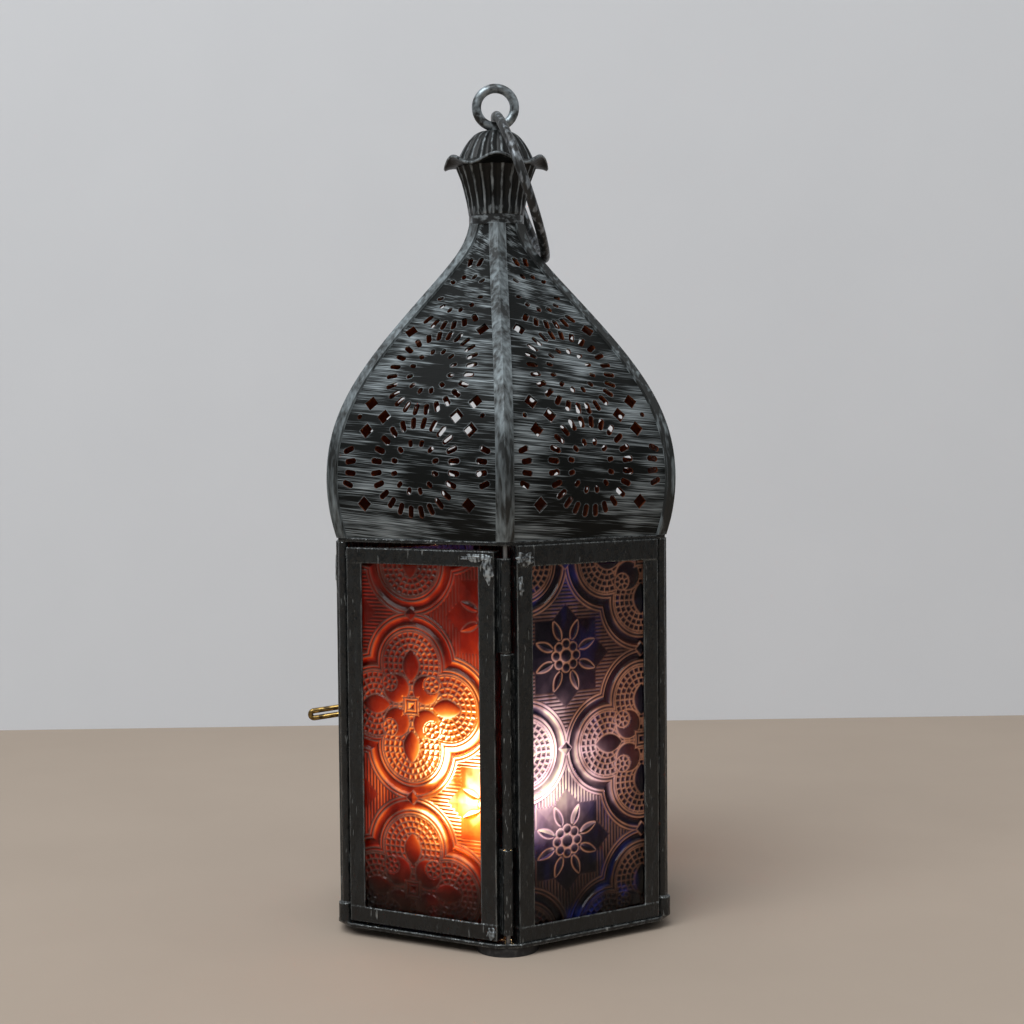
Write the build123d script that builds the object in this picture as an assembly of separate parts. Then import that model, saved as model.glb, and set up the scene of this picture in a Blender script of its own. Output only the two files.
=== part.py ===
from build123d import *
import math
import os

os.makedirs("parts", exist_ok=True)

# All sizes are in millimetres. The lantern stands on z = 0 with its axis on the Z axis.
# One corner of the six-sided body, the door's hinge corner, faces -Y.

# Feet and base plate
FOOT_R = 8.0
FOOT_H = 2.4
FOOT_INSET = 6.9
PLATE_T = 1.0
PLATE_LAP = 0.6
PLATE_TIP_LAP = 1.2

# Six-sided body: corner posts on a circle, framed glass between them
POST_CIRCLE = 48.4
POST_R = 1.5
BEAD_R = 2.0
BEAD_H = 5.0
BEAD_SHIFT = 0.5
PANEL_GAP = 2.2
PANEL_H = 99.8
CHANNEL_D = 4.2
SHEET_T = 0.5
STILE_W = 4.5
RAIL_H = 4.0
GLASS_T = 3.0
GLASS_SIDE_GAP = 2.2
GLASS_TOP_GAP = 2.0
WING_T = 0.8
WING_BITE = 0.5
HEAD_GAP = 1.4
RING_T = 1.0
RING_LAP = 1.6
RING_W = 4.9

# Door and its hinge
DOOR_GAP = 0.7
BARREL_R = 1.4
PIN_R = 0.6
PIN_CLEARANCE = 0.1
BARREL_FOOT = 2.2
LOW_BREAK = 24.2
HIGH_BREAK = 74.0
BARREL_TOP_GAP = 1.8
KNUCKLE_GAP = 0.3

# Hairpin bolt in the left panel's front stile, and its keeper on the door
LATCH_Z = 59.0
LATCH_WIRE_R = 0.7
LATCH_LEG_HALF = 0.95
LATCH_DROOP = 8.0
LATCH_OUT = 8.2
LATCH_TIP_DEPTH = 3.0
LATCH_EDGE = 1.5
LATCH_CLEARANCE = 0.2
KEEPER_T = 0.6
KEEPER_SET = 4.1
KEEPER_CLEARANCE = 0.5
KEEPER_BAR = 0.9
KEEPER_FOOT_W = 2.6

# Pierced dome: six gores, six folded ribs over their seams
DOME_H = 84.5
DOME_BULGE = 4.1
DOME_SHEET_T = 0.6
RIB_T = 0.6
RIB_W = 2.7
# share of the dome's height, share of its widest half-width across flats
DOME_OUTLINE = (
    (0.0, 0.949),
    (0.076, 0.983),
    (0.178, 1.0),
    (0.324, 0.967),
    (0.425, 0.898),
    (0.525, 0.792),
    (0.628, 0.653),
    (0.787, 0.409),
    (0.866, 0.289),
    (0.935, 0.205),
    (1.0, 0.165),
)

# Pierced rosettes, laid out on the unrolled gore
ROSETTE_FIRST = 18.8
ROSETTE_PITCH = 26.8
ROSETTE_SIDE = 31.0
OUTER_RING_R = 11.6
OUTER_SLOTS = 24
OUTER_SLOT_L = 3.3
OUTER_SLOT_W = 1.5
INNER_RING_R = 6.3
INNER_SLOTS = 12
INNER_SLOT_L = 1.9
INNER_SLOT_W = 1.3
DIAMOND = 2.9
DIAMOND_RISE = 3.8
DIAMOND_REACH = 4.7
DOT_R = 0.7
DOT_REACH = 2.8
PIERCE_EDGE = 3.6
PIERCE_FOOT = 5.0
PIERCE_HEAD = 10.0

# Finial: collar, fluted cup, ruffled rim, fluted cap, eye on a threaded shank
COLLAR_H = 2.5
CUP_LAP = 0.1
CUP_TOP_R = 11.2
CUP_H = 13.3
FLUTES = 22
FLUTE_SHARE = 0.05
RIM_R = 14.5
RIM_HUB_R = 9.9
RIM_HUB_H = 2.0
RIM_WAVE = 1.4
RIM_T = 0.5
CAP_R = 11.2
CAP_H = 8.1
CAP_TOP_R = 3.2
CAP_FULLNESS = 1.1
EYE_R = 5.25
EYE_WIRE_R = 1.3
SHANK_R = 1.5
SHANK_CLEARANCE = 0.2
WASHER_R = 5.5
WASHER_T = 0.8
NUT_R = 3.2
NUT_H = 2.3
SHANK_TAIL = 1.5

# Carrying ring through the eye
CARRY_R = 20.5
CARRY_WIRE_R = 1.3
CARRY_LEAN = 19.0
CARRY_CLEARANCE = 0.1

# Tea light and its holder
HOLDER_CLEARANCE = 0.85
HOLDER_WALL = 0.5
HOLDER_H = 6.0
TEA_R = 19.25
TEA_WALL = 0.3
TEA_H = 16.0
TEA_SEAT_GAP = 0.02
WAX_H = 11.5
WICK_R = 0.6
WICK_H = 6.0
WICK_FOOT = 1.0

# Heights and half-widths that follow
SIDES = 6
TURN = 360 / SIDES
HALF_TURN = math.radians(TURN / 2)
PLATE_TOP = FOOT_H + PLATE_T
PANEL_TOP = PLATE_TOP + PANEL_H
RING_BOTTOM = PANEL_TOP + HEAD_GAP
DOME_BOTTOM = RING_BOTTOM + RING_T
DOME_TOP = DOME_BOTTOM + DOME_H
COLLAR_TOP = DOME_TOP + COLLAR_H
CUP_TOP = COLLAR_TOP + CUP_H
HUB_TOP = CUP_TOP + RIM_HUB_H
CAP_TOP = HUB_TOP + CAP_H
EYE_Z = CAP_TOP + EYE_R + EYE_WIRE_R
MID = POST_CIRCLE * math.cos(HALF_TURN)
OUTER_FACE = MID + CHANNEL_D / 2
INNER_FACE = MID - CHANNEL_D / 2
POST_SIDE = POST_CIRCLE * math.sin(HALF_TURN)
HALF_W = POST_SIDE - PANEL_GAP
GLASS_HALF_W = HALF_W - GLASS_SIDE_GAP
RING_R = POST_CIRCLE + RING_LAP
DOME_WIDE = MID + DOME_BULGE
COLLAR_R = DOME_WIDE * DOME_OUTLINE[-1][1]
CUP_BOTTOM_R = COLLAR_R + CUP_LAP
HOLDER_R = TEA_R + HOLDER_CLEARANCE + HOLDER_WALL
PUNCH_DEPTH = 3 * DOME_SHEET_T
DOOR = 5
LATCH_PANEL = 4


def save(name, *shapes):
    """Writes one named piece, made of one or more solids."""
    solids = [solid for shape in shapes for solid in shape.solids()]
    piece = solids[0] if len(solids) == 1 else Compound(children=solids)
    export_step(piece, f"parts/{name}.step")


def block(x0, x1, y0, y1, z0, z1):
    """A box between two corners."""
    size = Box(x1 - x0, y1 - y0, z1 - z0)
    return Pos((x0 + x1) / 2, (y0 + y1) / 2, (z0 + z1) / 2) * size


def rod(radius, z0, z1, x=0.0, y=0.0):
    """An upright cylinder between two heights."""
    return Pos(x, y, (z0 + z1) / 2) * Cylinder(radius, z1 - z0)


def on_side(shape, side):
    """Turns a piece made facing +X to one of the six sides. Side 0 is right of the hinge."""
    return Rot(Z=TURN * side - TURN) * shape


def at_corner(shape, corner):
    """Turns a piece made on the +X corner to one of the six corners. Corner 0 is at -Y."""
    return Rot(Z=TURN * corner - 90) * shape


# Base plate: a six-sided sheet with clipped tips, on three round feet
plate_outline = RegularPolygon(OUTER_FACE + PLATE_LAP, SIDES, major_radius=False, rotation=TURN / 2)
plate_clip = RegularPolygon(POST_CIRCLE + PLATE_TIP_LAP, SIDES, major_radius=False)
base_plate = Pos(Z=FOOT_H) * extrude(plate_outline & plate_clip, PLATE_T)
save("base_plate", base_plate)

foot = rod(FOOT_R, 0, FOOT_H, x=POST_CIRCLE - FOOT_INSET)
for name, corner in (("foot_front", 0), ("foot_right", 2), ("foot_left", 4)):
    save(name, at_corner(foot, corner))

# Tea light in a shallow holder ring on the base plate
holder = rod(HOLDER_R, PLATE_TOP, PLATE_TOP + HOLDER_H)
holder -= rod(HOLDER_R - HOLDER_WALL, PLATE_TOP + HOLDER_WALL, PLATE_TOP + HOLDER_H)
save("candle_holder", holder)

tea_floor = PLATE_TOP + HOLDER_WALL + TEA_SEAT_GAP
tea_cup = rod(TEA_R, tea_floor, tea_floor + TEA_H)
tea_cup -= rod(TEA_R - TEA_WALL, tea_floor + TEA_WALL, tea_floor + TEA_H)
save("tealight_cup", tea_cup)

wick_bottom = tea_floor + TEA_WALL + WICK_FOOT
wax_top = tea_floor + TEA_WALL + WAX_H
wax = rod(TEA_R - TEA_WALL, tea_floor + TEA_WALL, wax_top)
wax -= rod(WICK_R, wick_bottom, wax_top)
save("tealight_wax", wax)
save("tealight_wick", rod(WICK_R, wick_bottom, wax_top + WICK_H))


# Framed panels: folded channel on four sides, rails over the full width, stiles between
def channel_frame(z0, z1, head):
    """The rails and stiles of one panel, facing +X. Its top rail runs on upwards by a head."""
    slot_in = INNER_FACE + SHEET_T
    slot_out = OUTER_FACE - SHEET_T
    web = HALF_W - SHEET_T
    low_rail = block(INNER_FACE, OUTER_FACE, -HALF_W, HALF_W, z0, z0 + RAIL_H)
    low_rail -= block(slot_in, slot_out, -web, web, z0 + SHEET_T, z0 + RAIL_H)
    rail_top = z1 + head
    high_rail = block(INNER_FACE, OUTER_FACE, -HALF_W, HALF_W, z1 - RAIL_H, rail_top)
    high_rail -= block(slot_in, slot_out, -web, web, z1 - RAIL_H, rail_top - SHEET_T)
    stile_low = z0 + RAIL_H
    stile_high = z1 - RAIL_H
    edge = HALF_W - STILE_W
    stile = block(INNER_FACE, OUTER_FACE, edge, HALF_W, stile_low, stile_high)
    stile -= block(slot_in, slot_out, edge, web, stile_low, stile_high)
    return [low_rail, high_rail, stile, mirror(stile, Plane.XZ)]


def pane(z0, z1):
    """One sheet of glass, standing in its lower rail, facing +X."""
    half_t = GLASS_T / 2
    top = z1 - GLASS_TOP_GAP
    return block(MID - half_t, MID + half_t, -GLASS_HALF_W, GLASS_HALF_W, z0 + SHEET_T, top)


# The bolt slides through one slot in each flange of the left panel's front stile
droop = math.tan(math.radians(LATCH_DROOP))
bolt_side = HALF_W - LATCH_EDGE
slot_w = 2 * (LATCH_WIRE_R + LATCH_CLEARANCE)
slot_h = 2 * (LATCH_LEG_HALF + LATCH_WIRE_R + LATCH_CLEARANCE) + SHEET_T * droop


def bolt_slot(x, thickness):
    """A slot along X for both legs of the bolt, at a distance from the lantern's axis."""
    height = LATCH_Z + (OUTER_FACE - x) * droop
    opening = SlotOverall(slot_h, slot_w, rotation=90)
    cutter = extrude(Plane.YZ * opening, thickness, both=True)
    return Pos(x, bolt_side, height) * cutter


for side in range(SIDES):
    if side == DOOR:
        continue
    frame = channel_frame(PLATE_TOP, PANEL_TOP, HEAD_GAP)
    if side == LATCH_PANEL:
        outer_slot = bolt_slot(OUTER_FACE - SHEET_T / 2, SHEET_T)
        inner_slot = bolt_slot(INNER_FACE + SHEET_T / 2, SHEET_T)
        frame[2] = frame[2] - outer_slot - inner_slot
    save(f"panel_frame_{side + 1}", *[on_side(bar, side) for bar in frame])
    save(f"panel_glass_{side + 1}", on_side(pane(PLATE_TOP, PANEL_TOP), side))

door_bottom = PLATE_TOP + DOOR_GAP
door_bars = channel_frame(door_bottom, PANEL_TOP, 0)
save("door_frame", *[on_side(bar, DOOR) for bar in door_bars])
save("door_glass", on_side(pane(door_bottom, PANEL_TOP), DOOR))


# Hinge: three knuckles on one pin at the front corner, each with a leaf to its panel
def knuckle(y_sign, z0, z1, bore):
    """A barrel with its leaf, for the side facing +X."""
    y = y_sign * POST_SIDE
    near = y_sign * HALF_W
    far = y_sign * (POST_SIDE - BARREL_R + WING_BITE)
    leaf = block(MID - WING_T / 2, MID + WING_T / 2, min(near, far), max(near, far), z0, z1)
    barrel = rod(BARREL_R, z0, z1, MID, y) + leaf
    return barrel - rod(bore, z0, z1, MID, y)


barrel_bottom = PLATE_TOP + BARREL_FOOT
barrel_top = PANEL_TOP - BARREL_TOP_GAP
low_break = PLATE_TOP + LOW_BREAK
high_break = PLATE_TOP + HIGH_BREAK
half_gap = KNUCKLE_GAP / 2
door_bore = PIN_R + PIN_CLEARANCE
low_knuckle = knuckle(1, barrel_bottom, low_break - half_gap, door_bore)
high_knuckle = knuckle(1, high_break + half_gap, barrel_top, door_bore)
mid_knuckle = knuckle(-1, low_break + half_gap, high_break - half_gap, PIN_R)
save("door_knuckle_low", on_side(low_knuckle, DOOR))
save("door_knuckle_high", on_side(high_knuckle, DOOR))
save("fixed_knuckle", on_side(mid_knuckle, 0))
save("hinge_pin", at_corner(rod(PIN_R, PLATE_TOP, RING_BOTTOM, x=POST_CIRCLE), 0))

# Corner posts: round wire soldered between neighbouring frames, with a bead at its foot.
# The post at the door's free edge is soldered to the fixed panel only.
for corner in range(1, SIDES):
    post = rod(POST_R, PLATE_TOP, RING_BOTTOM, x=POST_CIRCLE)
    post += rod(BEAD_R, PLATE_TOP, PLATE_TOP + BEAD_H, x=POST_CIRCLE + BEAD_SHIFT)
    post = at_corner(post, corner)
    wing_near = HALF_W
    wing_far = POST_SIDE - POST_R + WING_BITE
    half_wing = WING_T / 2
    back_wing = block(MID - half_wing, MID + half_wing, wing_near, wing_far, PLATE_TOP, PANEL_TOP)
    post += on_side(back_wing, corner - 1)
    if corner != DOOR:
        post += on_side(mirror(back_wing, Plane.XZ), corner)
    save(f"corner_post_{corner}", post)

# Hairpin bolt: two legs one above the other, bent round at the outer end, drooping outwards
tip_x = OUTER_FACE - LATCH_TIP_DEPTH
tip_z = LATCH_Z + LATCH_TIP_DEPTH * droop
reach = (LATCH_TIP_DEPTH + LATCH_OUT) / math.cos(math.radians(LATCH_DROOP))
leg_l = reach - LATCH_LEG_HALF - LATCH_WIRE_R
leg = Pos(leg_l / 2, 0, LATCH_LEG_HALF) * Rot(Y=90) * Cylinder(LATCH_WIRE_R, leg_l)
bend_size = 2 * (LATCH_LEG_HALF + LATCH_WIRE_R)
bend = Rot(X=90) * Torus(LATCH_LEG_HALF, LATCH_WIRE_R)
bend &= block(0, bend_size, -bend_size, bend_size, -bend_size, bend_size)
hairpin = leg + mirror(leg, Plane.XY) + Pos(X=leg_l) * bend
hairpin = Pos(tip_x, bolt_side, tip_z) * Rot(Y=LATCH_DROOP) * hairpin
save("latch_bolt", on_side(hairpin, LATCH_PANEL))

# Keeper: a slotted tab that reaches from the door behind the left panel's front stile
keeper_x = INNER_FACE - KEEPER_SET
keeper_z = LATCH_Z + (OUTER_FACE - keeper_x) * droop
keeper_slot_w = LATCH_WIRE_R + KEEPER_CLEARANCE
keeper_slot_h = LATCH_LEG_HALF + LATCH_WIRE_R + KEEPER_CLEARANCE
keeper_low = keeper_z - keeper_slot_h - KEEPER_BAR
keeper_high = keeper_z + keeper_slot_h + KEEPER_BAR
keeper_tip = bolt_side - keeper_slot_w - KEEPER_BAR
half_t = KEEPER_T / 2
tab = block(
    keeper_x - half_t, keeper_x + half_t, keeper_tip, HALF_W + CHANNEL_D, keeper_low, keeper_high
)
tab -= block(
    keeper_x - KEEPER_T,
    keeper_x + KEEPER_T,
    bolt_side - keeper_slot_w,
    bolt_side + keeper_slot_w,
    keeper_z - keeper_slot_h,
    keeper_z + keeper_slot_h,
)
tab = on_side(tab, LATCH_PANEL)
behind_door = block(0, INNER_FACE, -POST_CIRCLE, POST_CIRCLE, 0, PANEL_TOP)
tab &= on_side(behind_door, DOOR)
# where the tab's plane meets the door's inner face, measured along the door
door_turn = math.radians(TURN)
tab_root = (keeper_x - INNER_FACE * math.cos(door_turn)) / math.sin(door_turn)
foot_plate = block(
    INNER_FACE - KEEPER_T,
    INNER_FACE,
    -tab_root - KEEPER_FOOT_W / 2,
    -tab_root + KEEPER_FOOT_W / 2,
    keeper_low,
    keeper_high,
)
save("latch_keeper", tab + on_side(foot_plate, DOOR))

# Top ring: ties the posts together and carries the dome
ring_outline = RegularPolygon(RING_R, SIDES, rotation=TURN / 2)
ring_hole_apothem = RING_R * math.cos(HALF_TURN) - RING_W
ring_hole = RegularPolygon(ring_hole_apothem, SIDES, major_radius=False, rotation=TURN / 2)
save("top_ring", Pos(Z=RING_BOTTOM) * extrude(ring_outline - ring_hole, RING_T))

# Dome outline across the flats, seen from the side; ribs outside it, gores inside them
outline = Spline(*[(wide * DOME_WIDE, 0, DOME_BOTTOM + high * DOME_H) for high, wide in DOME_OUTLINE])
OUTLINE_STEPS = 16
END_RUN = 1.5


def dome_curve(depth):
    """The outline moved inwards by a depth, and run on a little at both ends."""
    points = []
    for step in range(OUTLINE_STEPS + 1):
        along = outline % (step / OUTLINE_STEPS)
        here = outline @ (step / OUTLINE_STEPS)
        points.append(here + Vector(-along.Z, 0, along.X) * depth)
    first = points[0] - (outline % 0) * END_RUN
    last = points[-1] + (outline % 1) * END_RUN
    return Spline(first, *points, last)


rib_curve = dome_curve(0)
gore_curve = dome_curve(RIB_T)
lining_curve = dome_curve(RIB_T + DOME_SHEET_T)


def dome_band(outer, inner):
    """Sheet between two curves, bent over one flat side."""
    profile = make_face([outer, inner, Line(outer @ 0, inner @ 0), Line(outer @ 1, inner @ 1)])
    return extrude(profile, DOME_WIDE, both=True)


FAR = 2 * DOME_WIDE
FAR_SIDE = FAR * math.tan(HALF_TURN)
wedge_outline = make_face(Polyline((0, 0), (FAR, FAR_SIDE), (FAR, -FAR_SIDE), close=True))
wedge = Pos(Z=DOME_BOTTOM) * extrude(wedge_outline, DOME_H)
plain_gore = dome_band(gore_curve, lining_curve) & wedge


def pierce(opening, across, along):
    """A cutter for one opening, square to the gore at a place on its unrolled sheet."""
    here = gore_curve.position_at(along + END_RUN, position_mode=PositionMode.LENGTH)
    up = gore_curve.tangent_at(along + END_RUN, position_mode=PositionMode.LENGTH)
    normal = Vector(up.Z, 0, -up.X)
    tangent_plane = Plane(here + Vector(0, across, 0), x_dir=(0, 1, 0), z_dir=normal)
    return extrude(tangent_plane * opening, PUNCH_DEPTH, both=True)


def on_gore(across, along, reach):
    """Is an opening of this reach clear of the ribs and of the gore's ends?"""
    if along < PIERCE_FOOT + reach or along > gore_curve.length - 2 * END_RUN - PIERCE_HEAD:
        return False
    here = gore_curve.position_at(along + END_RUN, position_mode=PositionMode.LENGTH)
    return abs(across) + reach < here.X * math.tan(HALF_TURN) - PIERCE_EDGE


def slot_ring(radius, count, length, width, centre_across, centre_along):
    """Slots set like spokes round a rosette, where they fit on the gore."""
    cutters = []
    for number in range(count):
        spoke = math.radians(360 * (number + 0.5) / count)
        across = centre_across + radius * math.sin(spoke)
        along = centre_along + radius * math.cos(spoke)
        if on_gore(across, along, length / 2 if abs(centre_across) > 0 else width):
            opening = SlotOverall(length, width, rotation=90 - math.degrees(spoke))
            cutters.append(pierce(opening, across, along))
    return cutters


openings = []
ROSETTE_ROWS = 3
for row in range(ROSETTE_ROWS):
    centre = ROSETTE_FIRST + row * ROSETTE_PITCH
    for side_step in (-1, 0, 1):
        side_at = side_step * ROSETTE_SIDE
        openings += slot_ring(OUTER_RING_R, OUTER_SLOTS, OUTER_SLOT_L, OUTER_SLOT_W, side_at, centre)
    openings += slot_ring(INNER_RING_R, INNER_SLOTS, INNER_SLOT_L, INNER_SLOT_W, 0, centre)
    # diamonds and a dot in the corner between four rosettes, below this row
    corner_along = centre - ROSETTE_PITCH / 2
    for sign in (-1, 1):
        corner_across = sign * ROSETTE_SIDE / 2
        for out, up in ((0, DIAMOND_RISE), (0, -DIAMOND_RISE), (-DIAMOND_REACH, 0)):
            across = corner_across + sign * out
            if on_gore(across, corner_along + up, DIAMOND / 2):
                diamond = Rectangle(DIAMOND, DIAMOND, rotation=45)
                openings.append(pierce(diamond, across, corner_along + up))
        dot_across = corner_across + sign * DOT_REACH
        if on_gore(dot_across, corner_along, DOT_R):
            openings.append(pierce(Circle(DOT_R), dot_across, corner_along))
gore = plain_gore - openings
for side in range(SIDES):
    save(f"dome_gore_{side + 1}", on_side(gore, side))

# Ribs: strips folded along the seams, one wing on each neighbouring gore
wing_set = RIB_W * math.cos(HALF_TURN)
seam_far = (FAR, FAR_SIDE)
shift_x = wing_set * math.sin(HALF_TURN)
shift_y = -wing_set * math.cos(HALF_TURN)
strip_outline = make_face(
    Polyline((0, 0), seam_far, (FAR + shift_x, FAR_SIDE + shift_y), (shift_x, shift_y), close=True)
)
strip = Pos(Z=DOME_BOTTOM) * extrude(strip_outline, DOME_H)
rib_wing = dome_band(rib_curve, gore_curve) & strip
rib = rib_wing + Rot(Z=TURN) * mirror(rib_wing, Plane.XZ)
for side in range(SIDES):
    save(f"dome_rib_{side + 1}", on_side(rib, side))

# Finial, stacked on the dome's neck and clamped by the eye's shank
shank_hole = SHANK_R + SHANK_CLEARANCE
collar = rod(COLLAR_R, DOME_TOP, COLLAR_TOP) - rod(shank_hole, DOME_TOP, COLLAR_TOP)
save("neck_collar", collar)


def fluted_ring(radius, z):
    """A closed outline of round flutes at one height."""
    arcs = []
    step = 2 * math.pi / FLUTES
    valley = radius * (1 - FLUTE_SHARE)
    for number in range(FLUTES):
        start = number * step
        middle = start + step / 2
        end = start + step
        arcs.append(
            ThreePointArc(
                (valley * math.cos(start), valley * math.sin(start), z),
                (radius * math.cos(middle), radius * math.sin(middle), z),
                (valley * math.cos(end), valley * math.sin(end), z),
            )
        )
    return make_face(arcs)


cup = loft([fluted_ring(CUP_BOTTOM_R, COLLAR_TOP), fluted_ring(CUP_TOP_R, CUP_TOP)])
save("finial_cup", cup - rod(shank_hole, COLLAR_TOP, CUP_TOP))

cap_sections = []
CAP_STEPS = 7
for step in range(CAP_STEPS):
    rise = step / (CAP_STEPS - 1)
    swell = math.sqrt(1 - rise**CAP_FULLNESS)
    radius = CAP_TOP_R + (CAP_R - CAP_TOP_R) * swell
    cap_sections.append(fluted_ring(radius, HUB_TOP + CAP_H * rise))
cap = loft(cap_sections, ruled=True) - rod(shank_hole, HUB_TOP, CAP_TOP)
save("finial_cap", cap)

# Ruffled rim: a wavy collar on a flat hub, six waves with a crest over each corner
wave_middle = CUP_TOP + RIM_WAVE + RIM_T
wave_half = (RIM_HUB_R + RIM_R) / 2 * math.tan(HALF_TURN)
wave_points = [(i * wave_half, RIM_WAVE if i % 2 == 0 else -RIM_WAVE) for i in range(-2, 3)]
top_line = Spline(*[(0, y, wave_middle + z + RIM_T / 2) for y, z in wave_points])
low_line = Spline(*[(0, y, wave_middle + z - RIM_T / 2) for y, z in wave_points])
start_edge = Line(top_line @ 0, low_line @ 0)
end_edge = Line(top_line @ 1, low_line @ 1)
wave_face = make_face([top_line, low_line, start_edge, end_edge])
wave_strip = extrude(wave_face, RIM_R + RIM_T, dir=(1, 0, 0))
rim_wedge = Pos(Z=COLLAR_TOP) * extrude(wedge_outline, 2 * CUP_H)
rim_tube = rod(RIM_R, CUP_TOP, CUP_TOP + CUP_H) - rod(RIM_HUB_R - RIM_T, CUP_TOP, CUP_TOP + CUP_H)
ruffle = wave_strip & rim_wedge & rim_tube
rim = rod(RIM_HUB_R, CUP_TOP, HUB_TOP)
for corner in range(SIDES):
    rim += at_corner(ruffle, corner)
rim = rim - rod(shank_hole, CUP_TOP, HUB_TOP) - cap - rod(CAP_TOP_R, HUB_TOP, CAP_TOP)
save("finial_rim", rim)

washer_bottom = DOME_TOP - WASHER_T
nut_bottom = washer_bottom - NUT_H
save("finial_washer", rod(WASHER_R, washer_bottom, DOME_TOP) - rod(shank_hole, washer_bottom, DOME_TOP))
nut = Pos(Z=nut_bottom) * extrude(RegularPolygon(NUT_R, SIDES), NUT_H)
save("finial_nut", nut - rod(SHANK_R, nut_bottom, washer_bottom))
eye = Pos(Z=EYE_Z) * Rot(X=90) * Torus(EYE_R, EYE_WIRE_R)
eye += rod(SHANK_R, nut_bottom - SHANK_TAIL, EYE_Z - EYE_R)
save("finial_eye", eye)

# Carrying ring, hanging through the eye and leaning on the dome's shoulder
pivot_z = EYE_Z - EYE_R + EYE_WIRE_R + CARRY_WIRE_R + CARRY_CLEARANCE
lean = math.radians(CARRY_LEAN)
carry = Rot(Y=90 - CARRY_LEAN) * Torus(CARRY_R, CARRY_WIRE_R)
carry = Pos(CARRY_R * math.sin(lean), 0, pivot_z - CARRY_R * math.cos(lean)) * carry
save("carry_ring", carry)
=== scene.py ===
import bpy
import math
import numpy as np
from mathutils import Matrix, Vector


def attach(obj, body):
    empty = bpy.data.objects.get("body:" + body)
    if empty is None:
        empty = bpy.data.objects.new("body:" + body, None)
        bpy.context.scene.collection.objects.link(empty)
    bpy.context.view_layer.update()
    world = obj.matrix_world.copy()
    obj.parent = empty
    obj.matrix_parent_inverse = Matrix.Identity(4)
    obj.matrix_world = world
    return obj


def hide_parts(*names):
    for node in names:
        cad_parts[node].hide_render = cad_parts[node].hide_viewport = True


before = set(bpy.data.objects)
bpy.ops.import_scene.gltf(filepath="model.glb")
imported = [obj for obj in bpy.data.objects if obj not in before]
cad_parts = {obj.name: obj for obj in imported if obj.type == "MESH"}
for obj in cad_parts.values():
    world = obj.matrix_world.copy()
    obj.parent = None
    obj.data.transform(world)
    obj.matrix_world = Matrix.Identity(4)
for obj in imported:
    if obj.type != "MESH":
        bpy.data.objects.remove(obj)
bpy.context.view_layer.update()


# Base plate, panel frames and corner posts: tinned steel sheet and wire, soldered into a
# six-sided box and painted black. Handling has worn the paint to bright metal on the edges.
def new_finish(name):
    """A new material and its shader."""
    finish = bpy.data.materials.new(name)
    finish.use_nodes = True
    return finish, finish.node_tree.nodes["Principled BSDF"]


def feed(finish, node, inputs):
    """Sets each named input of a node, or links it where the value comes from another node."""
    for name, value in inputs.items():
        if isinstance(value, bpy.types.NodeSocket):
            finish.node_tree.links.new(value, node.inputs[name])
        else:
            node.inputs[name].default_value = value


def add_node(finish, kind, inputs, **settings):
    """Adds a shading node with its settings and inputs."""
    node = finish.node_tree.nodes.new("ShaderNode" + kind)
    for name, value in settings.items():
        setattr(node, name, value)
    feed(finish, node, inputs)
    return node


def place_on(finish):
    """The point on the piece, in metres in the lantern's frame."""
    return add_node(finish, "TexCoord", {}).outputs["Object"]


def sum_of(finish, operation, first, second=0.0):
    """One sum of two numbers."""
    return add_node(finish, "Math", {0: first, 1: second}, operation=operation).outputs[0]


def share_of(finish, value, start, end):
    """0 at start and 1 at end."""
    inputs = {"Value": value, "From Min": start, "From Max": end}
    return add_node(finish, "MapRange", inputs).outputs[0]


def between(finish, share, low, high):
    """A number between two values."""
    inputs = {"Value": share, "To Min": low, "To Max": high}
    return add_node(finish, "MapRange", inputs).outputs[0]


def mixed(finish, share, first, second):
    """A colour between two colours."""
    inputs = {0: share, 6: first, 7: second}
    return add_node(finish, "Mix", inputs, data_type="RGBA").outputs[2]


def grain(finish, place, size, detail=3.0, start=(0.0, 0.0, 0.0)):
    """Cloudy noise whose patches have the given size in mm along each axis."""
    scale = tuple(1000 / length for length in size)
    moved = add_node(finish, "Mapping", {"Vector": place, "Scale": scale, "Location": start})
    inputs = {"Vector": moved.outputs[0], "Scale": 1.0, "Detail": detail}
    return add_node(finish, "TexNoise", inputs).outputs[0]


def bumped(finish, height, strength, depth, facing=None):
    """The facing of a surface that a height roughens, by up to the given depth in metres."""
    inputs = {"Height": height, "Strength": strength, "Distance": depth}
    if facing is not None:
        inputs["Normal"] = facing
    return add_node(finish, "Bump", inputs).outputs[0]


def rounded_off(finish, radius):
    """The piece's facing with its sharp edges rounded off."""
    return add_node(finish, "Bevel", {"Radius": radius}, samples=4).outputs[0]


STILL_FLAT = 0.99


def edge_of(finish, rounded, sharpest):
    """1 on the sharp edges of a piece and 0 on its faces."""
    facing = add_node(finish, "NewGeometry", {}).outputs["Normal"]
    inputs = {0: rounded, 1: facing}
    flat = add_node(finish, "VectorMath", inputs, operation="DOT_PRODUCT").outputs["Value"]
    return share_of(finish, flat, STILL_FLAT, sharpest)


def paint_nodes(finish, *names):
    """Gives CAD pieces their finish."""
    for name in names:
        cad_parts[name].material_slots[0].material = finish


THICK_BLACK = (0.0030, 0.0038, 0.0042, 1)
THIN_BLACK = (0.0090, 0.0108, 0.0114, 1)
BARE_SHEET = (0.30, 0.32, 0.32, 1)
WORN_EDGE = 0.0006
FLECK_FADE = 0.08
PAINT_LUMP = 0.0005


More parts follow.
